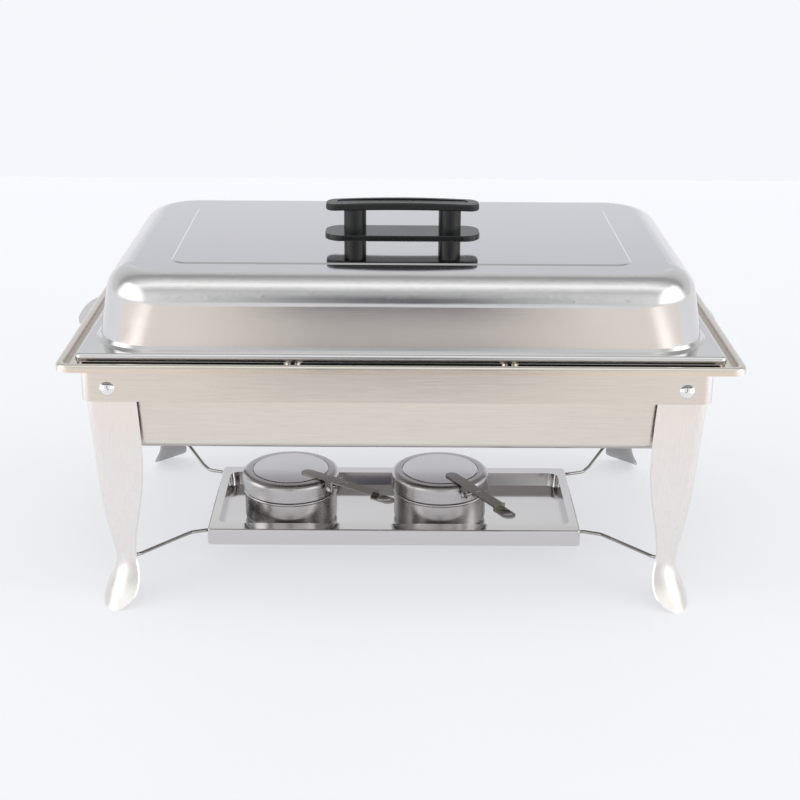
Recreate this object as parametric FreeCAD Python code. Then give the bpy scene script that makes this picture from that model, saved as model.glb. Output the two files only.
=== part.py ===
import FreeCAD, Part
import math
import os

# Chafing dish food warmer, millimetres.
# The origin is on the floor under the middle of the stand. +X runs along the
# length, +Y runs from the front to the back and +Z is up.

# Stand: apron ring
APRON_HALF_X = 260.0
APRON_HALF_Y = 161.0
APRON_CORNER_R = 9.0
APRON_THICK = 1.0
APRON_BOTTOM_Z = 187.5
APRON_TOP_Z = 218.3
APRON_FLANGE = 3.4

# Legs: folded sheet, the fold line leans inwards to the ankle and flares out at the foot
LEG_THICK = 1.2
LEG_FLANGE = 46.0
LEG_OUTLINE_REACH = 60.0
LEG_OUTLINE_PUSH = 160.0
LEG_LEVELS = (215.0, 186.0, 158.0, 130.0, 100.0, 76.0, 58.0, 46.0, 37.0, 29.0, 21.0, 13.0, 8.0, 4.0, 1.5, 0.0)
LEG_LEAN_X = (0.6, 1.9, 3.7, 5.4, 7.4, 9.8, 12.2, 14.0, 14.9, 14.2, 11.6, 7.6, 5.8, 4.9, 4.6, 4.5)
LEG_LEAN_Y = (0.6, 1.9, 3.7, 5.4, 7.4, 9.8, 12.2, 13.8, 13.7, 11.4, 6.6, -0.6, -6.2, -11.2, -14.4, -16.2)
LEG_FOLD_R = (8.0, 8.0, 8.0, 8.0, 8.0, 8.5, 9.5, 11.0, 13.0, 16.0, 20.0, 24.0, 26.0, 27.0, 27.6, 28.0)
LEG_WIDTH = (41.0, 41.0, 40.6, 39.4, 34.6, 27.8, 22.2, 19.2, 18.6, 20.8, 24.4, 27.4, 26.6, 22.0, 15.0, 7.0)

# Rivets
RIVET_X = 237.8
RIVET_Z = 198.6
RIVET_HEAD_R = 6.25
RIVET_HEAD_H = 3.2
RIVET_SHANK_R = 2.4
RIVET_TAIL_R = 4.2
RIVET_TAIL_H = 1.4
RIVET_GRIP = 4.4

# Carrying lugs on the ends
LUG_Z = 215.2
LUG_THICK = 1.6
LUG_REACH = 28.0
LUG_HALF = 62.0
LUG_SHOULDER_X = 19.0
LUG_SHOULDER_Y = 46.0
LUG_SLOT_HALF = 36.0
LUG_SLOT_NEAR = 7.0
LUG_SLOT_FAR = 21.5
LUG_TAB_H = 14.0

# Burner tray and its wires
TRAY_SHIFT_X = -2.1
TRAY_HALF_X = 170.5
TRAY_HALF_Y = 73.8
TRAY_TOP_Z = 31.3
TRAY_SKIRT = 15.2
TRAY_THICK = 0.8
TRAY_CORNER_R = 4.0
TRAY_WELL_HALF_X = 162.0
TRAY_WELL_HALF_Y = 59.8
TRAY_WELL_DEPTH = 12.8
TRAY_WELL_R = 9.0
TRAY_WELL_DRAFT = 1.4
TRAY_EDGE_R = 1.2
WIRE_R = 1.6
WIRE_RUN_Y = 67.0
WIRE_RUN_Z = 27.6
WIRE_RUN_END_X = 172.0
WIRE_BEND_X = 187.0
WIRE_BEND_Y = 72.5
WIRE_KNEE_X = 194.5
WIRE_KNEE_Y = 83.5
WIRE_LEG_X = 223.0
WIRE_LEG_Y = 138.0
WIRE_LEG_Z = 37.8
WIRE_END_X = 233.0
WIRE_END_Y = 142.6
WIRE_NOTCH_W = 9.0
WIRE_NOTCH_H = 6.2
WIRE_NOTCH_REACH = 6.0
WIRE_NOTCH_SHIFT = 0.4
WIRE_NOTCH_GAP = 0.6
WIRE_KNEE_RISE = 1.2
WIRE_BENDS = (5.0, 9.0, 7.0, 7.0, 7.0, 7.0, 9.0, 5.0)

# Fuel holders
CUP_LEFT_X = -99.5
CUP_RIGHT_X = 41.0
CUP_Y = -13.0
CUP_R = 43.3
CUP_THICK = 0.7
CUP_FOOT_R = 5.0
CUP_BEAD_Z = 47.4
CUP_BEAD_R = 1.5
CUP_BEAD_SINK = 0.2
CUP_NECK_R = 42.6
CUP_NECK_TOP = 61.5
CAP_R = 45.3
CAP_THICK = 0.8
CAP_BOTTOM_Z = 50.2
CAP_TOP_Z = 66.6
CAP_EDGE_R = 5.0
CAP_HOLE_R = 30.0
CAP_SEAT_R = 36.0
CAP_SEAT_DROP = 1.3
DISC_R = 35.2
DISC_THICK = 0.8
DISC_GAP = 0.1

# Snuffer lever, hinged on the skirt of the cap
LEVER_ANGLE_LEFT = -36.7
LEVER_ANGLE_RIGHT = -59.7
LEVER_START = 15.0
LEVER_NECK_END = 100.0
LEVER_TIP = 120.5
LEVER_HALF_W = 6.0
LEVER_THICK = 1.0
LEVER_BOTTOM_Z = CAP_TOP_Z + 0.45
LEVER_HOLE_AT = 66.5
LEVER_HOLE_R = 3.0
LEVER_SPOON_DROP = 3.4
LEVER_LIP_H = 1.3
LEVER_DISH_THICK = 1.6
LEVER_DISH_DEPTH = 1.0
LEVER_DISH_R = 20.0
EAR_NEAR = 46.6
EAR_FAR = 55.2
EAR_THICK = 1.0
EAR_DROP = 9.6
PIN_AT = 50.9
PIN_Z = 60.6
PIN_R = 1.2
PIN_CLEAR = 0.06
BRACKET_HALF_W = 4.6
BRACKET_THICK = 1.0
BRACKET_BOTTOM_Z = 55.2
BRACKET_TOP_Z = 61.4
BRACKET_FAR_X = 54.1
BRACKET_CHEEK_H = 3.1
PIN_REACH = LEVER_HALF_W + 0.5
PIN_HEAD_AT = LEVER_HALF_W + 0.25
PIN_HEAD_R = 2.0
PIN_HEAD_H = 0.9
DISC_CHAMFER = 0.25

# Water pan, food pans and lid sit a little to the right in the stand
PAN_SHIFT_X = 3.0
PAN_THICK = 0.8
WATER_TOP_HALF_X = 252.5
WATER_TOP_HALF_Y = 155.0
WATER_BOTTOM_HALF_X = 246.0
WATER_BOTTOM_HALF_Y = 148.5
WATER_WALL_R = 30.0
WATER_BOTTOM_Z = 140.8
WATER_EDGE_R = 9.0
LEDGE_Z = 219.1
RIM_HALF_X = 280.0
RIM_HALF_Y = 178.0
RIM_CORNER_R = 13.0
RIM_BEAD_W = 6.8
RIM_TOP_Z = 224.5
RIM_EDGE_R = 2.9
RIM_INNER_EDGE_R = 2.6
RIM_HOLLOW_R = 2.0

# Food pans, three across
FOOD_PITCH = 177.0
FOOD_GAP = 0.4
FOOD_HALF_Y = 164.6
FOOD_TOP_Z = 223.0
FOOD_CORNER_R = 11.0
FOOD_RIM_EDGE_R = 0.4
FOOD_RIM_X = 14.3
FOOD_RIM_Y = 12.4
FOOD_TAPER = 4.5
FOOD_DEPTH = 60.0
FOOD_WALL_R = 31.0
FOOD_EDGE_R = 10.0

# Lid
LID_HALF_X = 265.2
LID_HALF_Y = 163.2
LID_CORNER_R = 5.5
LID_THICK = 0.8
LID_LIP_Z = 223.0
LID_FLANGE_Z = 229.2
LID_EDGE_R = 3.0
DOME_BASE_HALF_X = 253.5
DOME_BASE_HALF_Y = 152.5
DOME_BASE_R = 48.0
DOME_TOP_HALF_X = 243.5
DOME_TOP_HALF_Y = 152.0
DOME_TOP_R = 54.0
DOME_TOP_Z = 289.7
DOME_EDGE_R = 23.0
DOME_FLARE_R = 3.6
DOME_FLARE_STEP = 0.3
DOME_FLARE_SINK = 0.4
PANEL_HALF_X = 192.0
PANEL_HALF_Y = 103.0
PANEL_R = 12.0
PANEL_RISE = 0.8
PANEL_BEVEL = 1.6

# Lid handle
HANDLE_SHIFT_X = 1.0
HANDLE_Y = -0.8
BASE_HALF_X = 69.0
BASE_HALF_Y = 20.5
BASE_THICK = 2.6
BASE_CORNER_R = 15.0
BASE_EDGE_R = 1.0
SCREW_CLEAR = 0.3
POST_SPACING = 84.6
POST_R = 10.0
POST_BORE_R = 2.1
POST_TOP_Z = 314.2
GRIP_HALF_X = 68.2
GRIP_HALF_Y = 12.5
GRIP_END_R = 9.0
GRIP_EDGE_R = 1.6
GRIP_BOTTOM_Z = 314.2
GRIP_TOP_Z = 320.8
GRIP_ARCH = 2.0
GRIP_UNDER_ARCH = 1.2
GRIP_GROOVE_HALF_X = 58.0
GRIP_GROOVE_HALF_Y = 7.0
GRIP_GROOVE_DEPTH = 1.2
GRIP_GROOVE_R = 4.0
SCREW_BITE = 2.0
SCREW_R = 2.0
SCREW_HEAD_R = 4.2
SCREW_HEAD_H = 2.4
SCREW_HEAD_EDGE_R = 0.9
SCREW_SLOT_W = 1.0
SCREW_SLOT_DEPTH = 1.0
WASHER_R = 7.0
WASHER_THICK = 1.0

TINY = 0.05


def save(shape, name):
    shape.exportStep("parts/" + name + ".step")


def vec(x, y, z):
    return FreeCAD.Vector(x, y, z)


def box(x0, x1, y0, y1, z0, z1):
    return Part.makeBox(x1 - x0, y1 - y0, z1 - z0, vec(x0, y0, z0))


def mirror_x(shape):
    return shape.mirror(vec(0, 0, 0), vec(1, 0, 0))


def mirror_y(shape):
    return shape.mirror(vec(0, 0, 0), vec(0, 1, 0))


def moved(shape, x, y, z):
    copy = shape.copy()
    copy.translate(vec(x, y, z))
    return copy


def turned(shape, degrees):
    copy = shape.copy()
    copy.rotate(vec(0, 0, 0), vec(0, 0, 1), degrees)
    return copy


def round_rect(half_x, half_y, radius, z):
    """A closed rounded rectangle in the plane z, centred on the Z axis."""
    ix = half_x - radius
    iy = half_y - radius
    edges = []
    corners = ((ix, iy, 0), (-ix, iy, 90), (-ix, -iy, 180), (ix, -iy, 270))
    for count, (cx, cy, start) in enumerate(corners):
        a0 = math.radians(start)
        am = math.radians(start + 45)
        a1 = math.radians(start + 90)
        p0 = vec(cx + radius * math.cos(a0), cy + radius * math.sin(a0), z)
        pm = vec(cx + radius * math.cos(am), cy + radius * math.sin(am), z)
        p1 = vec(cx + radius * math.cos(a1), cy + radius * math.sin(a1), z)
        edges.append(Part.Arc(p0, pm, p1).toShape())
        nx, ny, next_start = corners[(count + 1) % 4]
        an = math.radians(next_start)
        p2 = vec(nx + radius * math.cos(an), ny + radius * math.sin(an), z)
        edges.append(Part.makeLine(p1, p2))
    return Part.Wire(edges)


def slab(half_x, half_y, radius, z0, z1):
    return Part.Face(round_rect(half_x, half_y, radius, z0)).extrude(vec(0, 0, z1 - z0))


def tapered(low, high):
    """A solid between two rounded rectangles given as (half_x, half_y, radius, z)."""
    return Part.makeLoft([round_rect(*low), round_rect(*high)], True, True)


def edges_at(shape, z, tolerance=0.01):
    """The edges of a shape that lie flat in the plane z."""
    found = []
    for edge in shape.Edges:
        bounds = edge.BoundBox
        if abs(bounds.ZMin - z) < tolerance and abs(bounds.ZMax - z) < tolerance:
            found.append(edge)
    return found


def rounded_at(shape, z, radius):
    return shape.makeFillet(radius, edges_at(shape, z))


def stand_frame():
    outer = slab(APRON_HALF_X, APRON_HALF_Y, APRON_CORNER_R, APRON_BOTTOM_Z, APRON_TOP_Z)
    outer = rounded_at(outer, APRON_TOP_Z, APRON_THICK)
    inner = slab(APRON_HALF_X - APRON_THICK, APRON_HALF_Y - APRON_THICK,
                 APRON_CORNER_R - APRON_THICK, APRON_BOTTOM_Z - 1, APRON_TOP_Z - APRON_THICK)
    mouth = slab(APRON_HALF_X - APRON_FLANGE, APRON_HALF_Y - APRON_FLANGE,
                 APRON_CORNER_R - APRON_THICK, APRON_BOTTOM_Z - 1, APRON_TOP_Z + 1)
    ring = outer.cut(inner).cut(mouth)
    for side in (-1, 1):
        start = vec(side * RIVET_X, -APRON_HALF_Y - 1, RIVET_Z)
        ring = ring.cut(Part.makeCylinder(RIVET_SHANK_R, 2 * APRON_HALF_Y + 2, start, vec(0, 1, 0)))
    return ring


def leg_section(z, lean_x, lean_y, fold_r):
    """Closed L section of the front-left leg at height z, with a rounded fold."""
    cx = -(APRON_HALF_X - APRON_THICK - TINY) + lean_x
    cy = -(APRON_HALF_Y - APRON_THICK - TINY) + lean_y
    inner_r = fold_r - LEG_THICK
    middle = vec(cx + fold_r, cy + fold_r, z)
    diagonal = math.sqrt(0.5)
    a = vec(cx, cy + LEG_FLANGE, z)
    b = vec(cx, cy + fold_r, z)
    c = vec(cx + fold_r, cy, z)
    d = vec(cx + LEG_FLANGE, cy, z)
    e = vec(cx + LEG_FLANGE, cy + LEG_THICK, z)
    f = vec(cx + fold_r, cy + LEG_THICK, z)
    g = vec(cx + LEG_THICK, cy + fold_r, z)
    h = vec(cx + LEG_THICK, cy + LEG_FLANGE, z)
    outer_mid = middle + vec(-fold_r * diagonal, -fold_r * diagonal, 0)
    inner_mid = middle + vec(-inner_r * diagonal, -inner_r * diagonal, 0)
    edges = [Part.makeLine(a, b), Part.Arc(b, outer_mid, c).toShape(), Part.makeLine(c, d),
             Part.makeLine(d, e), Part.makeLine(e, f), Part.Arc(f, inner_mid, g).toShape(),
             Part.makeLine(g, h), Part.makeLine(h, a)]
    return Part.Wire(edges)


def leg_outline():
    """The leg's outline seen along the floor diagonal, as a face to push through the leg."""
    diagonal = math.sqrt(0.5)
    corner_x = -(APRON_HALF_X - APRON_THICK)
    corner_y = -(APRON_HALF_Y - APRON_THICK)
    along = vec(diagonal, -diagonal, 0)
    back = vec(-1, -1, 0) * LEG_OUTLINE_REACH
    left = []
    right = []
    for z, lean_x, lean_y, width in zip(LEG_LEVELS, LEG_LEAN_X, LEG_LEAN_Y, LEG_WIDTH):
        centre = (corner_x + lean_x) * diagonal - (corner_y + lean_y) * diagonal
        left.append(along * (centre - width * diagonal) + back + vec(0, 0, z))
        right.append(along * (centre + width * diagonal) + back + vec(0, 0, z))
    left_curve = Part.BSplineCurve()
    left_curve.interpolate(left)
    right_curve = Part.BSplineCurve()
    right_curve.interpolate(right)
    edges = [left_curve.toShape(), Part.makeLine(left[-1], right[-1]),
             right_curve.toShape(), Part.makeLine(right[0], left[0])]
    face = Part.Face(Part.Wire(Part.__sortEdges__(edges)))
    # the plane of the outline is shifted to lie outside the leg, then swept inwards
    reach = vec(corner_x, corner_y, 0)
    shift = vec(diagonal, diagonal, 0) * (reach.dot(vec(diagonal, diagonal, 0)))
    face.translate(shift)
    return face.extrude(vec(LEG_OUTLINE_PUSH, LEG_OUTLINE_PUSH, 0))


def leg():
    sections = []
    for z, lean_x, lean_y, fold_r in zip(LEG_LEVELS, LEG_LEAN_X, LEG_LEAN_Y, LEG_FOLD_R):
        sections.append(leg_section(z, lean_x, lean_y, fold_r))
    shell = Part.makeLoft(sections, True, False)
    shape = shell.common(leg_outline())
    hole = Part.makeCylinder(RIVET_SHANK_R, 20, vec(-RIVET_X, -APRON_HALF_Y - 5, RIVET_Z), vec(0, 1, 0))
    return shape.cut(hole)


def rivet():
    """Front-left rivet: domed head outside, shank, formed tail inside."""
    face_y = -APRON_HALF_Y
    sphere_r = (RIVET_HEAD_R ** 2 + RIVET_HEAD_H ** 2) / (2 * RIVET_HEAD_H)
    ball = Part.makeSphere(sphere_r, vec(0, sphere_r - RIVET_HEAD_H, 0))
    keep = box(-RIVET_HEAD_R - 1, RIVET_HEAD_R + 1, -RIVET_HEAD_H - 1, 0, -RIVET_HEAD_R - 1, RIVET_HEAD_R + 1)
    head = ball.common(keep)
    shank = Part.makeCylinder(RIVET_SHANK_R, RIVET_GRIP, vec(0, -TINY, 0), vec(0, 1, 0))
    tail = Part.makeCylinder(RIVET_TAIL_R, RIVET_TAIL_H, vec(0, RIVET_GRIP - TINY, 0), vec(0, 1, 0))
    return moved(head.fuse(shank).fuse(tail).removeSplitter(), -RIVET_X, face_y, RIVET_Z)


def leg_rivets():
    one = rivet()
    return Part.Compound([one, mirror_x(one), mirror_y(one), mirror_x(mirror_y(one))])


def lug():
    """Arched carrying lug with a finger slot and a tab welded to the apron, right end."""
    x0 = APRON_HALF_X
    back = vec(x0, LUG_HALF, LUG_Z)
    back_shoulder = vec(x0 + LUG_SHOULDER_X, LUG_SHOULDER_Y, LUG_Z)
    tip = vec(x0 + LUG_REACH, 0, LUG_Z)
    front_shoulder = vec(x0 + LUG_SHOULDER_X, -LUG_SHOULDER_Y, LUG_Z)
    front = vec(x0, -LUG_HALF, LUG_Z)
    outline = Part.BSplineCurve()
    outline.interpolate([back, back_shoulder, tip, front_shoulder, front])
    plate = Part.Face(Part.Wire([outline.toShape(), Part.makeLine(front, back)]))
    plate = plate.extrude(vec(0, 0, LUG_THICK))
    slot_mid = (LUG_SLOT_NEAR + LUG_SLOT_FAR) / 2
    slot_half = (LUG_SLOT_FAR - LUG_SLOT_NEAR) / 2
    slot = slab(slot_half, LUG_SLOT_HALF, slot_half - TINY, LUG_Z - 1, LUG_Z + LUG_THICK + 1)
    plate = plate.cut(moved(slot, x0 + slot_mid, 0, 0))
    tab = box(x0, x0 + LUG_THICK, -LUG_HALF + 2, LUG_HALF - 2, LUG_Z - LUG_TAB_H, LUG_Z + LUG_THICK)
    return plate.fuse(tab).removeSplitter()


def burner_tray():
    outer = slab(TRAY_HALF_X, TRAY_HALF_Y, TRAY_CORNER_R, TRAY_TOP_Z - TRAY_SKIRT, TRAY_TOP_Z)
    outer = rounded_at(outer, TRAY_TOP_Z, TRAY_EDGE_R)
    hollow = slab(TRAY_HALF_X - TRAY_THICK, TRAY_HALF_Y - TRAY_THICK, TRAY_CORNER_R - TRAY_THICK,
                  TRAY_TOP_Z - TRAY_SKIRT - 1, TRAY_TOP_Z - TRAY_THICK)
    floor_z = TRAY_TOP_Z - TRAY_WELL_DEPTH
    draft = TRAY_WELL_DRAFT
    well_out = tapered((TRAY_WELL_HALF_X - draft + TRAY_THICK, TRAY_WELL_HALF_Y - draft + TRAY_THICK,
                        TRAY_WELL_R + TRAY_THICK, floor_z - TRAY_THICK),
                       (TRAY_WELL_HALF_X + TRAY_THICK, TRAY_WELL_HALF_Y + TRAY_THICK,
                        TRAY_WELL_R + TRAY_THICK, TRAY_TOP_Z - TRAY_THICK / 2))
    well_in = tapered((TRAY_WELL_HALF_X - draft, TRAY_WELL_HALF_Y - draft, TRAY_WELL_R, floor_z),
                      (TRAY_WELL_HALF_X, TRAY_WELL_HALF_Y, TRAY_WELL_R, TRAY_TOP_Z + 0.1))
    tray = outer.cut(hollow).fuse(well_out).cut(well_in)
    for end in (-1, 1):
        for side in (-1, 1):
            x_mid = end * TRAY_HALF_X
            y_mid = side * (WIRE_RUN_Y + WIRE_NOTCH_SHIFT)
            notch = box(x_mid - WIRE_NOTCH_REACH, x_mid + WIRE_NOTCH_REACH,
                        y_mid - WIRE_NOTCH_W / 2, y_mid + WIRE_NOTCH_W / 2,
                        WIRE_RUN_Z - WIRE_NOTCH_H / 2, WIRE_RUN_Z + WIRE_R + WIRE_NOTCH_GAP)
            tray = tray.cut(notch)
    return moved(tray.removeSplitter(), TRAY_SHIFT_X, 0, 0)


def wire():
    """Front wire: along under the tray's front flange, then out and up to both legs."""
    points = [vec(-WIRE_END_X, -WIRE_END_Y, WIRE_LEG_Z), vec(-WIRE_LEG_X, -WIRE_LEG_Y, WIRE_LEG_Z),
              vec(-WIRE_KNEE_X, -WIRE_KNEE_Y, WIRE_RUN_Z + WIRE_KNEE_RISE), vec(-WIRE_BEND_X, -WIRE_BEND_Y, WIRE_RUN_Z),
              vec(-WIRE_RUN_END_X, -WIRE_RUN_Y, WIRE_RUN_Z)]
    points += [vec(-p.x, p.y, p.z) for p in reversed(points)]
    path = filleted_path(points, WIRE_BENDS)
    start = (points[1] - points[0]).normalize()
    circle = Part.Wire(Part.makeCircle(WIRE_R, points[0], start))
    return path.makePipeShell([circle], True, True)


def filleted_path(points, radii):
    """A wire through the points with each inner corner rounded to the given radius."""
    edges = []
    last = points[0]
    for before, corner, after, radius in zip(points, points[1:], points[2:], radii):
        u = (before - corner).normalize()
        v = (after - corner).normalize()
        half = math.acos(max(-1.0, min(1.0, u.dot(v)))) / 2
        setback = radius / math.tan(half)
        p = corner + u * setback
        q = corner + v * setback
        bisector = (u + v).normalize()
        centre = corner + bisector * (radius / math.sin(half))
        mid = centre - bisector * radius
        edges.append(Part.makeLine(last, p))
        edges.append(Part.Arc(p, mid, q).toShape())
        last = q
    edges.append(Part.makeLine(last, points[-1]))
    return Part.Wire(edges)


def ring_edges(shape, radius, z):
    """Circular edges of a turned body with this radius and height."""
    found = []
    for edge in shape.Edges:
        curve = edge.Curve
        if isinstance(curve, Part.Circle) and abs(curve.Radius - radius) < 0.02:
            if abs(curve.Center.z - z) < 0.02:
                found.append(edge)
    return found


def fuel_cup():
    """Cup with a rounded foot, a bead under the cap and a neck inside it."""
    z0 = TRAY_TOP_Z - TRAY_WELL_DEPTH
    outer = Part.makeCylinder(CUP_R, CUP_BEAD_Z - z0, vec(0, 0, z0))
    outer = outer.makeFillet(CUP_FOOT_R, ring_edges(outer, CUP_R, z0))
    neck = Part.makeCylinder(CUP_NECK_R, CUP_NECK_TOP - CUP_BEAD_Z, vec(0, 0, CUP_BEAD_Z))
    floor_z = z0 + CUP_THICK
    bore_r = CUP_NECK_R - CUP_THICK
    inner = Part.makeCylinder(bore_r, CUP_NECK_TOP - floor_z + 1, vec(0, 0, floor_z))
    inner = inner.makeFillet(CUP_FOOT_R - CUP_THICK, ring_edges(inner, bore_r, floor_z))
    bead = Part.makeTorus(CUP_R - CUP_BEAD_SINK, CUP_BEAD_R, vec(0, 0, CUP_BEAD_Z))
    return outer.fuse(neck).fuse(bead).cut(inner).removeSplitter()


def fuel_cap():
    """Cap with an open mouth, a sunk seat for the disc and a skirt over the cup's neck."""
    outer = Part.makeCylinder(CAP_R, CAP_TOP_Z - CAP_BOTTOM_Z, vec(0, 0, CAP_BOTTOM_Z))
    outer = outer.makeFillet(CAP_EDGE_R, ring_edges(outer, CAP_R, CAP_TOP_Z))
    inner_r = CAP_R - CAP_THICK
    hollow = Part.makeCylinder(inner_r, CAP_TOP_Z - CAP_SEAT_DROP - 2 * CAP_THICK - CAP_BOTTOM_Z + 1,
                               vec(0, 0, CAP_BOTTOM_Z - 1))
    seat = Part.makeCylinder(CAP_SEAT_R, 10, vec(0, 0, CAP_TOP_Z - CAP_SEAT_DROP))
    mouth = Part.makeCylinder(CAP_HOLE_R, 40, vec(0, 0, CAP_BOTTOM_Z))
    return outer.cut(hollow).cut(seat).cut(mouth).removeSplitter()


def hinge_bracket():
    """Saddle welded to the cap's skirt: a web and two cheeks that hold the pin."""
    half = BRACKET_HALF_W
    shape = box(CAP_R - 1, CAP_R + BRACKET_THICK, -half, half, BRACKET_BOTTOM_Z, BRACKET_TOP_Z)
    for y0, y1 in ((-half, BRACKET_THICK - half), (half - BRACKET_THICK, half)):
        shape = shape.fuse(box(CAP_R, BRACKET_FAR_X, y0, y1, PIN_Z - BRACKET_CHEEK_H, PIN_Z + BRACKET_CHEEK_H))
    skirt = Part.makeCylinder(CAP_R + TINY, CAP_TOP_Z - CAP_BOTTOM_Z, vec(0, 0, CAP_BOTTOM_Z))
    bore = Part.makeCylinder(PIN_R, 4 * LEVER_HALF_W, vec(PIN_AT, -2 * LEVER_HALF_W, PIN_Z), vec(0, 1, 0))
    return shape.cut(skirt).cut(bore).removeSplitter()


def hinge_pin():
    pin = Part.makeCylinder(PIN_R, 2 * PIN_REACH, vec(PIN_AT, -PIN_REACH, PIN_Z), vec(0, 1, 0))
    for side in (-1, 1):
        start = vec(PIN_AT, side * PIN_HEAD_AT, PIN_Z)
        pin = pin.fuse(Part.makeCylinder(PIN_HEAD_R, PIN_HEAD_H, start, vec(0, side, 0)))
    return pin.removeSplitter()


def snuffer_disc():
    z0 = CAP_TOP_Z - CAP_SEAT_DROP + DISC_GAP
    disc = Part.makeCylinder(DISC_R, LEVER_BOTTOM_Z - z0, vec(0, 0, z0))
    return disc.makeChamfer(DISC_CHAMFER, ring_edges(disc, DISC_R, LEVER_BOTTOM_Z))


def snuffer_lever():
    """Flat strip welded to the disc, two ears on the pin, an eye and a spoon end."""
    z0 = LEVER_BOTTOM_Z
    z1 = z0 + LEVER_THICK
    half = LEVER_HALF_W
    strip = box(LEVER_START + half, LEVER_NECK_END, -half, half, z0, z1)
    strip = strip.fuse(Part.makeCylinder(half, LEVER_THICK, vec(LEVER_START + half, 0, z0)))
    strip = strip.cut(Part.makeCylinder(LEVER_HOLE_R, 10, vec(LEVER_HOLE_AT, 0, z0 - 5)))
    shape = strip.fuse(spoon_end(z0))
    for side in (-1, 1):
        y0 = side * half
        y1 = side * (half - EAR_THICK)
        ear = box(EAR_NEAR, EAR_FAR, min(y0, y1), max(y0, y1), z0 - EAR_DROP, z1)
        mid_x = (EAR_NEAR + EAR_FAR) / 2
        round_r = (EAR_FAR - EAR_NEAR) / 2
        low = z0 - EAR_DROP + round_r
        trim = box(EAR_NEAR - 1, EAR_FAR + 1, -half - 1, half + 1, z0 - EAR_DROP - 1, low)
        keep = Part.makeCylinder(round_r, 2 * half + 2, vec(mid_x, -half - 1, low), vec(0, 1, 0))
        shape = shape.fuse(ear.cut(trim.cut(keep)))
    bore = Part.makeCylinder(PIN_R + PIN_CLEAR, 4 * half, vec(PIN_AT, -2 * half, PIN_Z), vec(0, 1, 0))
    return shape.cut(bore).removeSplitter()


def spoon_end(z0):
    """Behind a raised lip the strip drops into a half-round dished scoop."""
    half = LEVER_HALF_W
    start = LEVER_NECK_END - LEVER_THICK
    dish_z = z0 - LEVER_SPOON_DROP
    lip = box(start, LEVER_NECK_END, -half, half, dish_z, z0 + LEVER_THICK + LEVER_LIP_H)
    plate = slab(LEVER_TIP - start, half, half - TINY, dish_z, dish_z + LEVER_DISH_THICK)
    plate = moved(plate, start, 0, 0)
    plate = plate.common(box(start, LEVER_TIP, -half, half, dish_z, dish_z + LEVER_DISH_THICK))
    middle = (LEVER_NECK_END + LEVER_TIP) / 2
    ball_z = dish_z + LEVER_DISH_THICK - LEVER_DISH_DEPTH + LEVER_DISH_R
    hollow = Part.makeSphere(LEVER_DISH_R, vec(middle, 0, ball_z))
    return plate.cut(hollow).fuse(lip)


def placed_holder(shape, cup_x, angle):
    return moved(turned(shape, angle), cup_x, CUP_Y, 0)


def water_pan():
    floor = (WATER_BOTTOM_HALF_X, WATER_BOTTOM_HALF_Y, WATER_WALL_R, WATER_BOTTOM_Z)
    mouth = (WATER_TOP_HALF_X, WATER_TOP_HALF_Y, WATER_WALL_R, LEDGE_Z)
    outer = rounded_at(tapered(floor, mouth), WATER_BOTTOM_Z, WATER_EDGE_R)
    t = PAN_THICK
    inner_floor = (floor[0] - t, floor[1] - t, WATER_WALL_R - t, WATER_BOTTOM_Z + t)
    inner_mouth = (mouth[0] - t, mouth[1] - t, WATER_WALL_R - t, LEDGE_Z)
    inner = rounded_at(tapered(inner_floor, inner_mouth), WATER_BOTTOM_Z + t, WATER_EDGE_R - t)
    well = slab(mouth[0] - t, mouth[1] - t, WATER_WALL_R - t, LEDGE_Z - TINY, LEDGE_Z + 10)
    bead = RIM_BEAD_W
    rim = slab(RIM_HALF_X, RIM_HALF_Y, RIM_CORNER_R, LEDGE_Z - t, RIM_TOP_Z)
    rim = rounded_at(rim, RIM_TOP_Z, RIM_EDGE_R)
    under = rim_hollow(t, bead - t, LEDGE_Z - t - 1, RIM_TOP_Z - t)
    tray = slab(RIM_HALF_X - bead, RIM_HALF_Y - bead, RIM_CORNER_R - bead, LEDGE_Z, RIM_TOP_Z + 1)
    rim = rim.cut(under).cut(tray)
    rim = rounded_rim_lip(rim, bead)
    pan = outer.fuse(rim).cut(inner).cut(well).removeSplitter()
    return moved(pan, PAN_SHIFT_X, 0, 0)


def rounded_rim_lip(rim, bead):
    """Rounds the inner top edge of the rolled rim."""
    chosen = []
    for edge in edges_at(rim, RIM_TOP_Z):
        bounds = edge.BoundBox
        if bounds.XMax < RIM_HALF_X - bead + 0.1 and bounds.YMax < RIM_HALF_Y - bead + 0.1:
            if bounds.XMin > -RIM_HALF_X + bead - 0.1 and bounds.YMin > -RIM_HALF_Y + bead - 0.1:
                chosen.append(edge)
    return rim.makeFillet(RIM_INNER_EDGE_R, chosen)


def rim_hollow(near, far, z0, z1):
    """Closed channel under the rolled rim, between two insets from the rim's edge."""
    outer = slab(RIM_HALF_X - near, RIM_HALF_Y - near, RIM_CORNER_R - near, z0, z1)
    outer = rounded_at(outer, z1, RIM_HOLLOW_R)
    inner = slab(RIM_HALF_X - far, RIM_HALF_Y - far, RIM_CORNER_R - far, z0 - 1, z1 + 1)
    return outer.cut(inner)


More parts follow.
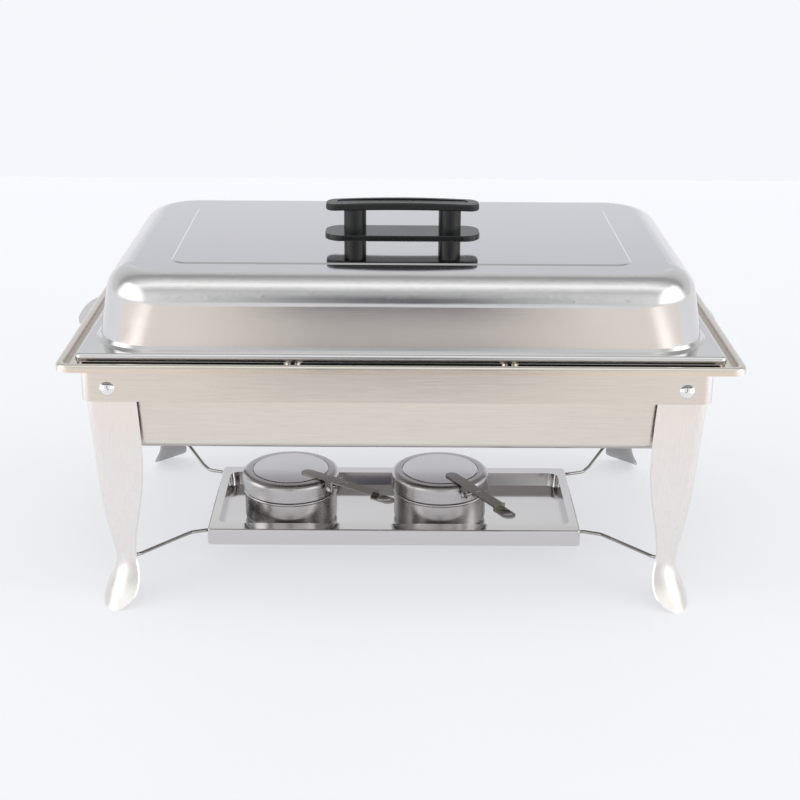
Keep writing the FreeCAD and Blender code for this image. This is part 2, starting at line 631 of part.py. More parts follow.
def food_pan(index):
    """One of the three food pans; index -1, 0 or 1 from left to right."""
    half_x = (FOOD_PITCH - FOOD_GAP) / 2
    t = PAN_THICK
    rim = slab(half_x, FOOD_HALF_Y, FOOD_CORNER_R, LEDGE_Z, FOOD_TOP_Z)
    rim = rounded_at(rim, FOOD_TOP_Z, FOOD_RIM_EDGE_R)
    body_x = half_x - FOOD_RIM_X
    body_y = FOOD_HALF_Y - FOOD_RIM_Y
    bottom_z = FOOD_TOP_Z - FOOD_DEPTH
    lip = slab(half_x - t, FOOD_HALF_Y - t, FOOD_CORNER_R - t, LEDGE_Z - 1, FOOD_TOP_Z - t)
    floor = (body_x - FOOD_TAPER, body_y - FOOD_TAPER, FOOD_WALL_R, bottom_z)
    mouth = (body_x, body_y, FOOD_WALL_R, FOOD_TOP_Z - t / 2)
    outer = rounded_at(tapered(floor, mouth), bottom_z, FOOD_EDGE_R)
    inner_floor = (floor[0] - t, floor[1] - t, FOOD_WALL_R - t, bottom_z + t)
    inner_mouth = (body_x - t, body_y - t, FOOD_WALL_R - t, FOOD_TOP_Z + TINY)
    inner = rounded_at(tapered(inner_floor, inner_mouth), bottom_z + t, FOOD_EDGE_R - t)
    pan = rim.cut(lip).fuse(outer).cut(inner).removeSplitter()
    return moved(pan, PAN_SHIFT_X + index * FOOD_PITCH, 0, 0)


def dome(offset):
    """Solid dome of the lid, shrunk inwards by the given offset."""
    base = (DOME_BASE_HALF_X - offset, DOME_BASE_HALF_Y - offset, DOME_BASE_R - offset, LID_FLANGE_Z - LID_THICK)
    top = (DOME_TOP_HALF_X - offset, DOME_TOP_HALF_Y - offset, DOME_TOP_R - offset, DOME_TOP_Z - offset)
    return rounded_at(tapered(base, top), DOME_TOP_Z - offset, DOME_EDGE_R - offset)


def panel(grow, z0, z1):
    """The pressed panel: a rounded rectangle with a sloping edge."""
    low = (PANEL_HALF_X + PANEL_BEVEL - grow, PANEL_HALF_Y + PANEL_BEVEL - grow, PANEL_R + PANEL_BEVEL, z0)
    high = (PANEL_HALF_X - grow, PANEL_HALF_Y - grow, PANEL_R, z1)
    return tapered(low, high)


def lid_shell():
    t = LID_THICK
    flange = slab(LID_HALF_X, LID_HALF_Y, LID_CORNER_R, LID_LIP_Z, LID_FLANGE_Z)
    flange = rounded_at(flange, LID_FLANGE_Z, LID_EDGE_R)
    under = slab(LID_HALF_X - t, LID_HALF_Y - t, LID_CORNER_R - t, LID_LIP_Z - 1, LID_FLANGE_Z - t)
    under = rounded_at(under, LID_FLANGE_Z - t, LID_EDGE_R - t)
    rise = LID_FLANGE_Z + DOME_FLARE_R
    flare = DOME_FLARE_R
    collar_low = (DOME_BASE_HALF_X + flare, DOME_BASE_HALF_Y + flare, DOME_BASE_R + flare, LID_FLANGE_Z)
    step = DOME_FLARE_STEP * flare
    collar_mid = (DOME_BASE_HALF_X + step, DOME_BASE_HALF_Y + step, DOME_BASE_R, LID_FLANGE_Z + step)
    sink = DOME_FLARE_SINK
    collar_high = (DOME_BASE_HALF_X - 2 * sink, DOME_BASE_HALF_Y - sink / 2, DOME_BASE_R - sink, rise)
    collar = tapered(collar_low, collar_mid).fuse(tapered(collar_mid, collar_high))
    outer = flange.cut(under).fuse(dome(0)).fuse(collar)
    outer = outer.fuse(panel(0, DOME_TOP_Z - TINY, DOME_TOP_Z + PANEL_RISE))
    inner = dome(t).fuse(panel(t, DOME_TOP_Z - t - TINY, DOME_TOP_Z + PANEL_RISE - t))
    shell = outer.cut(inner).removeSplitter()
    shell = moved(shell, PAN_SHIFT_X, 0, 0)
    for x in post_centres():
        shell = shell.cut(Part.makeCylinder(SCREW_R + SCREW_CLEAR, 20, vec(x, HANDLE_Y, DOME_TOP_Z - 10)))
    return shell


def post_centres():
    middle = PAN_SHIFT_X + HANDLE_SHIFT_X
    return (middle - POST_SPACING / 2, middle + POST_SPACING / 2)


def handle_base():
    z0 = DOME_TOP_Z + PANEL_RISE
    plate = slab(BASE_HALF_X, BASE_HALF_Y, BASE_CORNER_R, z0, z0 + BASE_THICK)
    plate = rounded_at(plate, z0 + BASE_THICK, BASE_EDGE_R)
    plate = moved(plate, PAN_SHIFT_X + HANDLE_SHIFT_X, HANDLE_Y, 0)
    for x in post_centres():
        plate = plate.cut(Part.makeCylinder(SCREW_R + SCREW_CLEAR, 4 * BASE_THICK, vec(x, HANDLE_Y, z0 - BASE_THICK)))
    return plate


def handle_post(x):
    z0 = DOME_TOP_Z + PANEL_RISE + BASE_THICK
    post = Part.makeCylinder(POST_R, POST_TOP_Z - z0, vec(x, HANDLE_Y, z0))
    bore = Part.makeCylinder(POST_BORE_R, POST_TOP_Z - z0 + 2, vec(x, HANDLE_Y, z0 - 1))
    return post.cut(bore)


def handle_grip():
    """Arched bar with rounded ends and a shallow groove along its top."""
    middle = PAN_SHIFT_X + HANDLE_SHIFT_X
    top = GRIP_TOP_Z
    ends = GRIP_TOP_Z - GRIP_ARCH
    thick = GRIP_TOP_Z - GRIP_BOTTOM_Z
    y0 = -GRIP_HALF_Y - 2
    arch_out = Part.Arc(vec(-GRIP_HALF_X - 1, y0, ends), vec(0, y0, top), vec(GRIP_HALF_X + 1, y0, ends))
    low_end = GRIP_BOTTOM_Z - GRIP_UNDER_ARCH
    arch_in = Part.Arc(vec(GRIP_HALF_X + 1, y0, low_end), vec(0, y0, GRIP_BOTTOM_Z),
                       vec(-GRIP_HALF_X - 1, y0, low_end))
    edges = [arch_out.toShape(), Part.makeLine(vec(GRIP_HALF_X + 1, y0, ends), vec(GRIP_HALF_X + 1, y0, low_end)),
             arch_in.toShape(), Part.makeLine(vec(-GRIP_HALF_X - 1, y0, low_end), vec(-GRIP_HALF_X - 1, y0, ends))]
    bar = Part.Face(Part.Wire(edges)).extrude(vec(0, 2 * GRIP_HALF_Y + 4, 0))
    outline = slab(GRIP_HALF_X, GRIP_HALF_Y, GRIP_END_R, GRIP_BOTTOM_Z - 8, GRIP_TOP_Z + 4)
    bar = bar.common(outline)
    flat_edges = [edge for edge in bar.Edges if edge.BoundBox.ZLength < thick / 2]
    bar = bar.makeFillet(GRIP_EDGE_R, flat_edges)
    groove = slab(GRIP_GROOVE_HALF_X, GRIP_GROOVE_HALF_Y, GRIP_GROOVE_R, GRIP_BOTTOM_Z, GRIP_TOP_Z + 4)
    cutter = moved(bar, 0, 0, thick - GRIP_GROOVE_DEPTH).common(groove)
    bar = bar.cut(cutter)
    bar = moved(bar, middle, HANDLE_Y, 0)
    for x in post_centres():
        level = Part.makeCylinder(POST_R + TINY, 4, vec(x, HANDLE_Y, POST_TOP_Z - 4))
        hole = Part.makeCylinder(POST_BORE_R, 2 * SCREW_BITE + 1, vec(x, HANDLE_Y, POST_TOP_Z - SCREW_BITE))
        bar = bar.cut(level).cut(hole)
    return bar


def handle_washers():
    z0 = DOME_TOP_Z + PANEL_RISE - LID_THICK - WASHER_THICK
    made = []
    for x in post_centres():
        disc = Part.makeCylinder(WASHER_R, WASHER_THICK, vec(x, HANDLE_Y, z0))
        made.append(disc.cut(Part.makeCylinder(SCREW_R + SCREW_CLEAR, 5, vec(x, HANDLE_Y, z0 - 2))))
    return Part.Compound(made)


def handle_screws():
    """Screws that come up through the lid and the base into the posts and the grip."""
    seat = DOME_TOP_Z + PANEL_RISE - LID_THICK - WASHER_THICK
    made = []
    for x in post_centres():
        shank = Part.makeCylinder(SCREW_R, POST_TOP_Z + SCREW_BITE - seat, vec(x, HANDLE_Y, seat))
        head = Part.makeCylinder(SCREW_HEAD_R, SCREW_HEAD_H, vec(x, HANDLE_Y, seat - SCREW_HEAD_H))
        head = head.makeFillet(SCREW_HEAD_EDGE_R, ring_edges(head, SCREW_HEAD_R, seat - SCREW_HEAD_H))
        slot = box(x - SCREW_HEAD_R - 1, x + SCREW_HEAD_R + 1,
                   HANDLE_Y - SCREW_SLOT_W / 2, HANDLE_Y + SCREW_SLOT_W / 2,
                   seat - SCREW_HEAD_H - 1, seat - SCREW_HEAD_H + SCREW_SLOT_DEPTH)
        made.append(shank.fuse(head).cut(slot).removeSplitter())
    return Part.Compound(made)


def main():
    os.makedirs("parts", exist_ok=True)
    save(stand_frame(), "stand_frame")
    front_left = leg()
    save(front_left, "leg_front_left")
    save(mirror_x(front_left), "leg_front_right")
    save(mirror_y(front_left), "leg_back_left")
    save(mirror_x(mirror_y(front_left)), "leg_back_right")
    save(leg_rivets(), "leg_rivets")
    right_lug = lug()
    save(right_lug, "end_handle_right")
    save(mirror_x(right_lug), "end_handle_left")
    save(burner_tray(), "burner_tray")
    front = wire()
    save(front, "front_wire")
    save(mirror_y(front), "back_wire")
    for side, cup_x, angle in (("left", CUP_LEFT_X, LEVER_ANGLE_LEFT), ("right", CUP_RIGHT_X, LEVER_ANGLE_RIGHT)):
        save(placed_holder(fuel_cup(), cup_x, angle), "fuel_cup_" + side)
        save(placed_holder(fuel_cap(), cup_x, angle), "fuel_cap_" + side)
        save(placed_holder(hinge_bracket(), cup_x, angle), "hinge_bracket_" + side)
        save(placed_holder(hinge_pin(), cup_x, angle), "hinge_pin_" + side)
        save(placed_holder(snuffer_disc(), cup_x, angle), "snuffer_disc_" + side)
        save(placed_holder(snuffer_lever(), cup_x, angle), "snuffer_lever_" + side)
    save(water_pan(), "water_pan")
    for index, name in ((-1, "left"), (0, "middle"), (1, "right")):
        save(food_pan(index), "food_pan_" + name)
    save(lid_shell(), "lid_shell")
    save(handle_base(), "handle_base")
    centres = post_centres()
    save(handle_post(centres[0]), "handle_post_left")
    save(handle_post(centres[1]), "handle_post_right")
    save(handle_grip(), "handle_grip")
    save(handle_washers(), "handle_washers")
    save(handle_screws(), "handle_screws")


main()
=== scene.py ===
import math
import bpy
from mathutils import Matrix, Vector


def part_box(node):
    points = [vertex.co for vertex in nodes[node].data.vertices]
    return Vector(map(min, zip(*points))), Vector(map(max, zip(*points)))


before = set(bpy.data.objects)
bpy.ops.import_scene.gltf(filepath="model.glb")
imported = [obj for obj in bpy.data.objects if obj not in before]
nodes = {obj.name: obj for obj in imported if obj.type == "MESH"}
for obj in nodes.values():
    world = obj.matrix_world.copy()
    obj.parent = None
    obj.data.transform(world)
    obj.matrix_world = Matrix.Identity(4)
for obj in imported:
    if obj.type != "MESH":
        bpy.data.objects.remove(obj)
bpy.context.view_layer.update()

scene = bpy.context.scene


# ---------------------------------------------------------------- node helpers

class Tree:
    """Small helper to lay out a node tree in code."""

    def __init__(self, tree):
        self.tree = tree
        tree.nodes.clear()

    def add(self, kind, **settings):
        node = self.tree.nodes.new(kind)
        for key, value in settings.items():
            setattr(node, key, value)
        return node

    def join(self, source, target):
        self.tree.links.new(source, target)

    def feed(self, value, socket):
        """Set the socket to a plain value, or join it to another node."""
        if isinstance(value, tuple):
            socket.default_value = (*value, 1.0)
        elif isinstance(value, (int, float)):
            socket.default_value = value
        else:
            self.join(value, socket)

    def parts_of(self, vector):
        """The x, y and z of a vector."""
        split = self.add("ShaderNodeSeparateXYZ")
        self.join(vector, split.inputs["Vector"])
        return split.outputs["X"], split.outputs["Y"], split.outputs["Z"]

    def place(self):
        """The point's x, y and z in the piece's own metres."""
        return self.parts_of(self.add("ShaderNodeTexCoord").outputs["Object"])

    def coordinates(self, scale=(1.0, 1.0, 1.0), rotation=(0, 0, 0)):
        where = self.add("ShaderNodeTexCoord")
        mapping = self.add("ShaderNodeMapping")
        mapping.inputs["Scale"].default_value = scale
        mapping.inputs["Rotation"].default_value = rotation
        self.join(where.outputs["Object"], mapping.inputs["Vector"])
        return mapping.outputs["Vector"]

    def noise(self, vector, scale, detail, roughness):
        node = self.add("ShaderNodeTexNoise")
        node.inputs["Scale"].default_value = scale
        node.inputs["Detail"].default_value = detail
        node.inputs["Roughness"].default_value = roughness
        self.join(vector, node.inputs["Vector"])
        return node.outputs["Fac"]

    def ramp(self, value, stops):
        node = self.add("ShaderNodeValToRGB")
        elements = node.color_ramp.elements
        while len(elements) < len(stops):
            elements.new(0.5)
        for element, (position, colour) in zip(elements, stops):
            element.position = position
            element.color = (*colour, 1.0)
        self.join(value, node.inputs["Fac"])
        return node.outputs["Color"]

    def spread(self, value, low, high, start=0.3, end=0.7):
        """Runs from low, where the value is start, to high, where it is end, and holds beyond."""
        node = self.add("ShaderNodeMapRange")
        node.inputs["From Min"].default_value = start
        node.inputs["From Max"].default_value = end
        node.inputs["To Min"].default_value = low
        node.inputs["To Max"].default_value = high
        self.join(value, node.inputs["Value"])
        return node.outputs["Result"]

    def rise(self, value, start, end):
        return self.spread(value, 0.0, 1.0, start, end)

    def fall(self, value, start, end):
        return self.spread(value, 1.0, 0.0, start, end)

    def maths(self, operation, a, b):
        node = self.add("ShaderNodeMath", operation=operation)
        self.feed(a, node.inputs[0])
        self.feed(b, node.inputs[1])
        return node.outputs[0]

    def plus(self, a, b):
        return self.maths("ADD", a, b)

    def times(self, a, b):
        return self.maths("MULTIPLY", a, b)

    def unsigned(self, value):
        return self.maths("ABSOLUTE", value, 0.0)

    def blend(self, factor, a, b):
        """Colour a where the factor is 0, colour b where it is 1."""
        node = self.add("ShaderNodeMix", data_type="RGBA")
        self.join(factor, node.inputs["Factor"])
        self.feed(a, node.inputs["A"])
        self.feed(b, node.inputs["B"])
        return node.outputs["Result"]

    def bump(self, height, strength, distance):
        node = self.add("ShaderNodeBump")
        node.inputs["Distance"].default_value = distance
        self.feed(strength, node.inputs["Strength"])
        self.join(height, node.inputs["Height"])
        return node.outputs["Normal"]


def new_material(name):
    made = bpy.data.materials.new(name)
    made.use_nodes = True
    return made, Tree(made.node_tree)


def principled(tree):
    out = tree.add("ShaderNodeOutputMaterial")
    shader = tree.add("ShaderNodeBsdfPrincipled")
    tree.join(shader.outputs["BSDF"], out.inputs["Surface"])
    return shader


def tint(colour, factor):
    return tuple(min(1.0, c * factor) for c in colour)


# ---------------------------------------------------------------- steel and plastic

GRAIN_RELIEF = 0.00012
CLOUD_SCALE = 9.0
WIPE_SCALE = 5.0
WIPE_STRETCH = (3.0, 9.0, 6.0)
WIPE_TURN = (0.3, 0.2, 0.6)
WIPE_EDGE = (0.4, 0.75)
SHADOW_SOFTNESS = 0.0003
SHADOW = (0.010, 0.010, 0.010)

PLASTIC_IOR = 1.46
PLASTIC_DARKER = 0.85
PLASTIC_LIGHTER = 1.2
SPARK_SCALE = 1800.0
SPARK_RELIEF = 0.00006
SPARK_BUMP = 0.25
SPARK_ROUGH = 0.03
HANDLING_SCALE = 30.0
HANDLING_SMOOTHER = 0.04
HANDLING_ROUGHER = 0.05


def steel(name, colour, rough, grain=(1.0, 60.0, 60.0), fineness=40.0, swing=0.02, depth=0.05,
          smudge=0.015, streak=0.03, polish=None, shadow_y=None, facing_shade=None):
    """Brushed or polished sheet steel: a drawn grain, cloudy polish and faint wipe marks.

    grain stretches the drawn lines, fineness is their scale and depth how strongly they show.
    swing, smudge and streak are how far the grain changes the roughness, how far the cloudy
    polish does, and how far the grain changes the colour.
    polish is (start, end, rough): between these heights the metal turns mirror bright.
    shadow_y is how far out the rim's turned-down edge starts; the metal is dark beyond it.
    The last argument is (axis, full, none, colour): faces whose normal lies between these along
    that axis are painted that darker colour, as painted shade.
    """
    made, tree = new_material(name)
    shader = principled(tree)
    shader.inputs["Metallic"].default_value = 1.0
    drawn = tree.noise(tree.coordinates(grain), fineness, detail=6.0, roughness=0.7)
    cloud = tree.noise(tree.coordinates(), CLOUD_SCALE, detail=3.0, roughness=0.5)
    wipe = tree.noise(tree.coordinates(WIPE_STRETCH, WIPE_TURN), WIPE_SCALE, detail=5.0, roughness=0.6)

    stops = [(0.25, tint(colour, 1 - streak)), (0.5, colour), (0.75, tint(colour, 1 + streak))]
    base = tree.ramp(drawn, stops)
    if shadow_y:
        outward = tree.unsigned(tree.place()[1])
        beyond = tree.rise(outward, shadow_y, shadow_y + SHADOW_SOFTNESS)
        base = tree.blend(beyond, base, SHADOW)
    # Painted shade: faces turned one way get the darker colour.
    if facing_shade:
        axis, full, none, shade_colour = facing_shade
        normal = tree.parts_of(tree.add("ShaderNodeNewGeometry").outputs["Normal"])
        base = tree.blend(tree.fall(normal["XYZ".index(axis)], full, none), base, shade_colour)
    tree.join(base, shader.inputs["Base Color"])

    grain_rough = tree.spread(drawn, rough - swing, rough + swing)
    cloud_rough = tree.spread(cloud, -smudge, smudge)
    wipe_rough = tree.spread(wipe, -smudge / 2, smudge, *WIPE_EDGE)
    total = tree.plus(grain_rough, tree.plus(cloud_rough, wipe_rough))
    strength = depth
    if polish:
        start, end, polished = polish
        height = tree.place()[2]
        satin = tree.fall(height, start, end)
        total = tree.plus(tree.times(total, satin), tree.spread(height, 0.0, polished, start, end))
        strength = tree.times(satin, depth)
    tree.join(total, shader.inputs["Roughness"])
    tree.join(tree.bump(drawn, strength, GRAIN_RELIEF), shader.inputs["Normal"])
    return made


def plastic(name, colour, rough):
    """Moulded satin plastic with a fine spark-eroded grain and slight handling sheen."""
    made, tree = new_material(name)
    shader = principled(tree)
    shader.inputs["IOR"].default_value = PLASTIC_IOR
    fine = tree.noise(tree.coordinates(), SPARK_SCALE, detail=2.0, roughness=0.5)
    cloud = tree.noise(tree.coordinates(), HANDLING_SCALE, detail=3.0, roughness=0.5)
    stops = [(0.3, tint(colour, PLASTIC_DARKER)), (0.7, tint(colour, PLASTIC_LIGHTER))]
    tree.join(tree.ramp(cloud, stops), shader.inputs["Base Color"])
    handled = tree.spread(cloud, rough - HANDLING_SMOOTHER, rough + HANDLING_ROUGHER)
    total = tree.plus(handled, tree.spread(fine, -SPARK_ROUGH, SPARK_ROUGH))
    tree.join(total, shader.inputs["Roughness"])
    tree.join(tree.bump(fine, SPARK_BUMP, SPARK_RELIEF), shader.inputs["Normal"])
    return made


# ---------------------------------------------------------------- materials

# The lid turns from satin to bright over these depths below its highest point.
LID_SATIN_BELOW = 0.0045
LID_BRIGHT_BELOW = 0.0012
LID_BRIGHT_ROUGH = 0.055
lid_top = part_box("lid_shell")[1][2]
lid_polish = (lid_top - LID_SATIN_BELOW, lid_top - LID_BRIGHT_BELOW, LID_BRIGHT_ROUGH)

# The outermost stretch of the food pans' rims is darkened, for the shadow in the gap there.
RIM_IN_SHADOW = 0.0012
food_rim_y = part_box("food_pan_middle")[1][1]

LEG_COLOUR = (0.86, 0.81, 0.785)
ACROSS_X = (1.0, 38.0, 38.0)
DOWN_THE_LEG = (38.0, 38.0, 1.0)
# The water pan's underside is painted darker: painted shade under the pan.
UNDERSIDE_PAINTED_SHADE = ("Z", -0.9, -0.35, (0.36, 0.34, 0.33))
# The back legs' front-facing sides are painted darker: painted shade under the pan.
FRONT_FACES_PAINTED_SHADE = ("Y", -0.3, 0.0, (0.38, 0.37, 0.365))

LID = steel("lid_satin", colour=(0.69, 0.676, 0.682), rough=0.14, grain=(1.0, 40.0, 40.0),
            fineness=30.0, streak=0.035, polish=lid_polish)
PAN = steel("pan_satin", colour=(0.72, 0.688, 0.672), rough=0.22, grain=ACROSS_X,
            fineness=30.0, swing=0.05, depth=0.16, smudge=0.025, streak=0.08)
# The water pan's steel, with painted shade on its underside.
WATER = steel("water_pan_satin", colour=(0.742, 0.682, 0.622), rough=0.22, grain=ACROSS_X,
              fineness=30.0, swing=0.05, depth=0.16, smudge=0.025, streak=0.08,
              facing_shade=UNDERSIDE_PAINTED_SHADE)
# The back legs' copy of the leg steel, with painted shade on their front-facing sides.
LEG_BACK_SHADED = steel("leg_back_satin_painted_shade", colour=LEG_COLOUR, rough=0.30, grain=DOWN_THE_LEG,
                 fineness=30.0, swing=0.04, depth=0.14, streak=0.06,
                 facing_shade=FRONT_FACES_PAINTED_SHADE)
LEG = steel("leg_satin", colour=LEG_COLOUR, rough=0.30, grain=DOWN_THE_LEG,
            fineness=30.0, swing=0.04, depth=0.14, streak=0.06)
TRAY = steel("tray_bright", colour=(0.70, 0.675, 0.675), rough=0.10)
FOOD = steel("food_pan_bright", colour=(0.70, 0.69, 0.67), rough=0.14, grain=(60.0, 1.0, 60.0),
             shadow_y=food_rim_y - RIM_IN_SHADOW)
# The fuel holders' steel is given a darker colour than the other steel, as painted shade under the
# pan.
HOLDER = steel("holder_brushed", colour=(0.52, 0.50, 0.50), rough=0.29, grain=(1.0, 1.0, 60.0),
               fineness=30.0, swing=0.06, depth=0.20, smudge=0.05, streak=0.12)
DISC = steel("disc_brushed", colour=(0.665, 0.645, 0.66), rough=0.16, grain=(50.0, 1.0, 1.0),
             smudge=0.03, streak=0.05)
# The levers and hinge brackets are given a dark colour, as painted shade under the pan.
LEVER = steel("lever_steel", colour=(0.27, 0.25, 0.23), rough=0.18, grain=(12.0, 12.0, 30.0),
              smudge=0.04)
CHROME = steel("rivet_chrome", colour=(0.84, 0.84, 0.84), rough=0.05, swing=0.01, depth=0.02,
               smudge=0.01)
# The wires' chrome is given a dark colour, as painted shade under the pan.
WIRE = steel("wire_chrome", colour=(0.42, 0.405, 0.39), rough=0.08)
BLACK = plastic("handle_black", colour=(0.011, 0.011, 0.012), rough=0.30)
GLOSSY = plastic("handle_base_black", colour=(0.012, 0.012, 0.013), rough=0.20)

PAINT = {
    LID: ["lid_shell"],
    PAN: ["stand_frame", "end_handle_left", "end_handle_right"],
    WATER: ["water_pan"],
    LEG: ["leg_front_left", "leg_front_right"],
    LEG_BACK_SHADED: ["leg_back_left", "leg_back_right"],
    TRAY: ["burner_tray"],
    FOOD: ["food_pan_left", "food_pan_middle", "food_pan_right"],
    HOLDER: ["fuel_cup_left", "fuel_cup_right", "fuel_cap_left", "fuel_cap_right"],
    DISC: ["snuffer_disc_left", "snuffer_disc_right"],
    LEVER: ["snuffer_lever_left", "snuffer_lever_right", "hinge_bracket_left", "hinge_bracket_right"],
    CHROME: ["leg_rivets", "handle_washers", "handle_screws", "hinge_pin_left", "hinge_pin_right"],
    WIRE: ["front_wire", "back_wire"],
    BLACK: ["handle_post_left", "handle_post_right", "handle_grip"],
    GLOSSY: ["handle_base"],
}
for material, names in PAINT.items():
    for name in names:
        piece = nodes[name]
        piece.data.materials.clear()
        piece.data.materials.append(material)


# ---------------------------------------------------------------- studio

DARK = (0.10, 0.10, 0.12)


def stage_mesh(name, points, faces, material):
    mesh = bpy.data.meshes.new(name)
    mesh.from_pydata(points, [], faces)
    for face in mesh.polygons:
        face.use_smooth = True
    mesh.materials.append(material)
    made = bpy.data.objects.new(name, mesh)
    scene.collection.objects.link(made)


def glowing(tree, share):
    """A surface that is partly lit and partly glows, so its shadows stay soft.

    Returns its two colour sockets and the socket for the strength of the glow.
    """
    out = tree.add("ShaderNodeOutputMaterial")
    mixed = tree.add("ShaderNodeMixShader")
    mixed.inputs["Fac"].default_value = share
    matt = tree.add("ShaderNodeBsdfDiffuse")
    glow = tree.add("ShaderNodeEmission")
    glow.inputs["Strength"].default_value = 1.0
    tree.join(matt.outputs["BSDF"], mixed.inputs[1])
    tree.join(glow.outputs["Emission"], mixed.inputs[2])
    tree.join(mixed.outputs["Shader"], out.inputs["Surface"])
    return (matt.inputs["Color"], glow.inputs["Color"]), glow.inputs["Strength"]


# The floor is pale paper, warmer in front of the object, with painted shade in the middle towards
# the front of the room and a painted pool of light at the sides under the soft lights. Distances
# are in metres from the object's middle, and the two numbers of a pair are the ends of a soft edge.
FLOOR_HALF = 14.0
FLOOR_GLOW = 1.15
FLOOR_GLOW_ADDED = 1.5
PAPER = (0.890, 0.902, 0.938)
PAPER_MOTTLE = 0.005
MOTTLE_SCALE = 3.0
PALE = (0.93, 0.865, 0.80)
WARM = (0.95, 0.88, 0.82)
PALE_FROM = (-0.45, -0.53)
WARM_FROM = (-0.70, -0.86)
FRONT_END = (-2.6, -1.6)
DIM_HALF_WIDTH = (0.11, 0.29)
DIM_BACK = -0.5
DIM_FRONT = -3.0
# (y, how much painted shade there is)
DIM_ALONG_Y = ((-2.3, 0.0), (-1.9, 0.9), (-1.05, 0.95), (-1.0125, 0.05), (-0.96, 0.10),
               (-0.82, 0.80), (-0.73, 0.12), (-0.6, 0.0))
# Painted pool of light: the floor glows more at its front sides, under the soft lights.
BRIGHT_SIDE = (0.55, 1.05)
BRIGHT_BACK = (0.0, 0.3)
BRIGHT_SIDE_END = (1.2, 2.0)
BRIGHT_FRONT_END = (-1.9, -1.2)


def floor_colour(tree, y, aside):
    mottle = tree.noise(tree.coordinates(), MOTTLE_SCALE, detail=2.0, roughness=0.5)
    stops = [(0.3, tint(PAPER, 1 - PAPER_MOTTLE)), (0.7, tint(PAPER, 1 + PAPER_MOTTLE))]
    colour = tree.ramp(mottle, stops)
    for start, warmer in ((PALE_FROM, PALE), (WARM_FROM, WARM)):
        zone = tree.times(tree.rise(y, *start), tree.rise(y, *FRONT_END))
        colour = tree.blend(zone, colour, warmer)
    # Painted shade: the middle towards the front is blended to dark.
    length = DIM_BACK - DIM_FRONT
    stops = [((at - DIM_FRONT) / length, (v, v, v)) for at, v in DIM_ALONG_Y]
    painted_shade = tree.ramp(tree.rise(y, DIM_FRONT, DIM_BACK), stops)
    return tree.blend(tree.times(painted_shade, tree.fall(aside, *DIM_HALF_WIDTH)), colour, DARK)


# The floor's glow, raised at the front sides as a painted pool of light.
def floor_glow(tree, y, aside):
    lit = tree.times(tree.rise(aside, *BRIGHT_SIDE), tree.fall(y, *BRIGHT_BACK))
    edge = tree.times(tree.fall(aside, *BRIGHT_SIDE_END), tree.rise(y, *BRIGHT_FRONT_END))
    return tree.plus(tree.times(tree.times(lit, edge), FLOOR_GLOW_ADDED), FLOOR_GLOW)


def lay_floor():
    paper, tree = new_material("studio_paper")
    colours, strength = glowing(tree, share=0.5)
    x, y = tree.place()[:2]
    aside = tree.unsigned(x)
    colour = floor_colour(tree, y, aside)
    for socket in colours:
        tree.join(colour, socket)
    tree.join(floor_glow(tree, y, aside), strength)
    corners = [(-FLOOR_HALF, -FLOOR_HALF, 0), (FLOOR_HALF, -FLOOR_HALF, 0),
               (FLOOR_HALF, FLOOR_HALF, 0), (-FLOOR_HALF, FLOOR_HALF, 0)]
    stage_mesh("studio_floor", corners, [(0, 1, 2, 3)], paper)


# A glowing backdrop stands behind the object on a curved foot. It is even in its lower half
# and has a dimmer band below its top edge. The tones are placed by their share of its height.
BACK_Y = 2.2
BACK_TOP = 1.09
BACK_HALF = 3.6
CURVE_R = 0.6
CURVE_STEPS = 16
FOOT_LIFT = 0.0005
BACK_TONES = [(0.0, (0.921, 0.930, 0.973)), (0.45, (0.921, 0.930, 0.973)), (0.70, (0.80, 0.81, 0.87)),
              (0.86, (0.71, 0.725, 0.765)), (0.95, (0.84, 0.86, 0.88)), (1.0, (0.87, 0.89, 0.91))]


def hang_backdrop():
    sheet, tree = new_material("studio_backdrop")
    colours = glowing(tree, share=1.0)[0]
    colour = tree.ramp(tree.rise(tree.place()[2], 0.0, BACK_TOP), BACK_TONES)
    for socket in colours:
        tree.join(colour, socket)
    profile = []
    for step in range(CURVE_STEPS + 1):
        angle = math.pi / 2 * step / CURVE_STEPS
        along = BACK_Y - CURVE_R + CURVE_R * math.sin(angle)
        profile.append((along, CURVE_R * (1 - math.cos(angle)) + FOOT_LIFT))
    profile.append((BACK_Y, BACK_TOP))
    points = [(side * BACK_HALF, y, z) for y, z in profile for side in (-1, 1)]
    faces = [(2 * i, 2 * i + 1, 2 * i + 3, 2 * i + 2) for i in range(len(profile) - 1)]
    stage_mesh("studio_backdrop", points, faces, sheet)


lay_floor()
hang_backdrop()


# ---------------------------------------------------------------- light

# How bright the room is at each angle around the X axis, in degrees: 0 at the back horizon,
# 90 overhead and 180 at the front horizon.
HALF_TURN = 180.0
ROOM = ((0, 0.80), (16, 0.75), (34, 0.72), (46, 0.60), (56, 0.42), (66, 0.47), (78, 0.64),
        (92, 0.97), (104, 1.32), (112, 1.16), (120, 0.88), (131, 0.70), (144, 0.86), (157, 0.93),
        (170, 0.93), (180, 0.90))
ROOM_GREEN = 1.03
ROOM_BLUE = 1.01
# The dim opening straight ahead of the object's front. Below, sweeps are in half turns, and
# the other pairs are parts of a direction whose length is one.
OPENING_HALF_WIDTH = (0.03, 0.14)
OPENING_SWEEP = (0.70, 0.90)
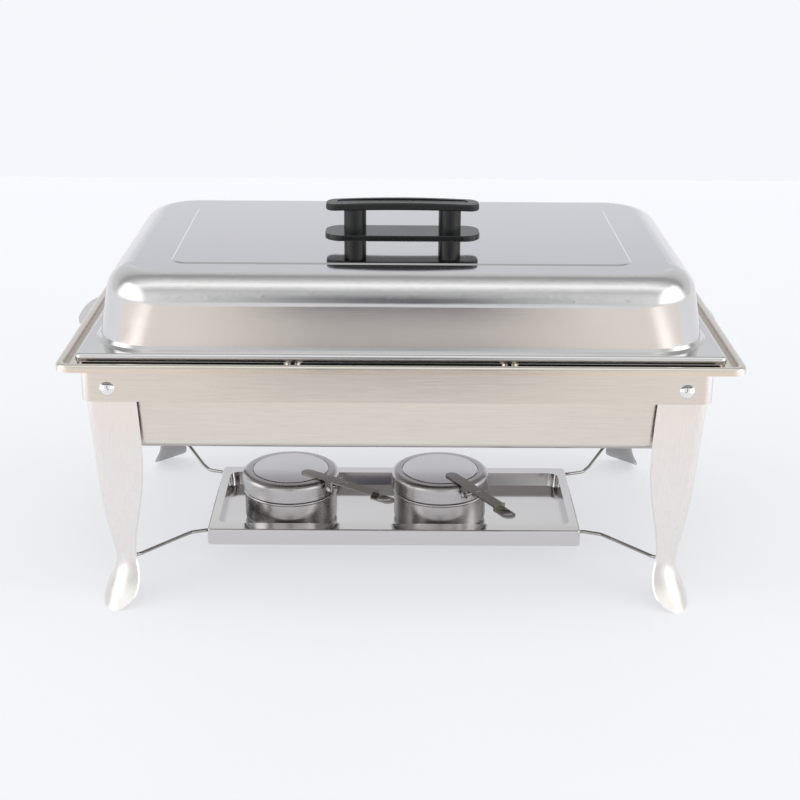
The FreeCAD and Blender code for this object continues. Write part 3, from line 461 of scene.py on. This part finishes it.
# A tall soft light on each side, towards the front.
SOFT_LIGHT = (1.9, 1.9, 1.9)
SOFT_LIGHT_ASIDE = (0.58, 0.74)
SOFT_LIGHT_TOP = (0.60, 0.74)
SOFT_LIGHT_BACK = (0.05, 0.25)


def light_room():
    world = bpy.data.worlds.new("studio_room")
    scene.world = world
    world.use_nodes = True
    room = Tree(world.node_tree)
    out = room.add("ShaderNodeOutputWorld")
    light = room.add("ShaderNodeBackground")
    light.inputs["Strength"].default_value = 1.0
    across, ahead, above = room.parts_of(room.add("ShaderNodeTexCoord").outputs["Generated"])
    aside = room.unsigned(across)
    sweep = room.maths("DIVIDE", room.maths("ARCTAN2", above, ahead), math.pi)
    tone = room.ramp(sweep, [(at / HALF_TURN, (v, v * ROOM_GREEN, v * ROOM_BLUE)) for at, v in ROOM])
    opening = room.times(room.fall(aside, *OPENING_HALF_WIDTH), room.rise(sweep, *OPENING_SWEEP))
    tone = room.blend(opening, tone, DARK)
    beside = room.rise(aside, *SOFT_LIGHT_ASIDE)
    low = room.fall(above, *SOFT_LIGHT_TOP)
    front = room.fall(ahead, *SOFT_LIGHT_BACK)
    soft_light = room.times(room.times(beside, low), front)
    room.join(room.blend(soft_light, tone, SOFT_LIGHT), light.inputs["Color"])
    room.join(light.outputs["Background"], out.inputs["Surface"])


light_room()


# ---------------------------------------------------------------- camera

CAMERA_AT = (-0.00239, -1.31508, 0.61894)
CAMERA_FORWARD = Vector((0.00377, 0.93744, -0.34813))
CAMERA_RIGHT = Vector((0.99998, -0.00163, 0.00644))
SENSOR_WIDTH = 36.0
LENS = 67.5


def place_camera():
    data = bpy.data.cameras.new("camera")
    data.sensor_width = SENSOR_WIDTH
    data.lens = LENS
    camera = bpy.data.objects.new("camera", data)
    scene.collection.objects.link(camera)
    forward = CAMERA_FORWARD.normalized()
    right = CAMERA_RIGHT.normalized()
    up = right.cross(forward).normalized()
    rows = [(right[i], up[i], -forward[i], CAMERA_AT[i]) for i in range(3)]
    camera.matrix_world = Matrix((*rows, (0, 0, 0, 1)))
    scene.camera = camera


place_camera()
scene.view_settings.view_transform = "Standard"
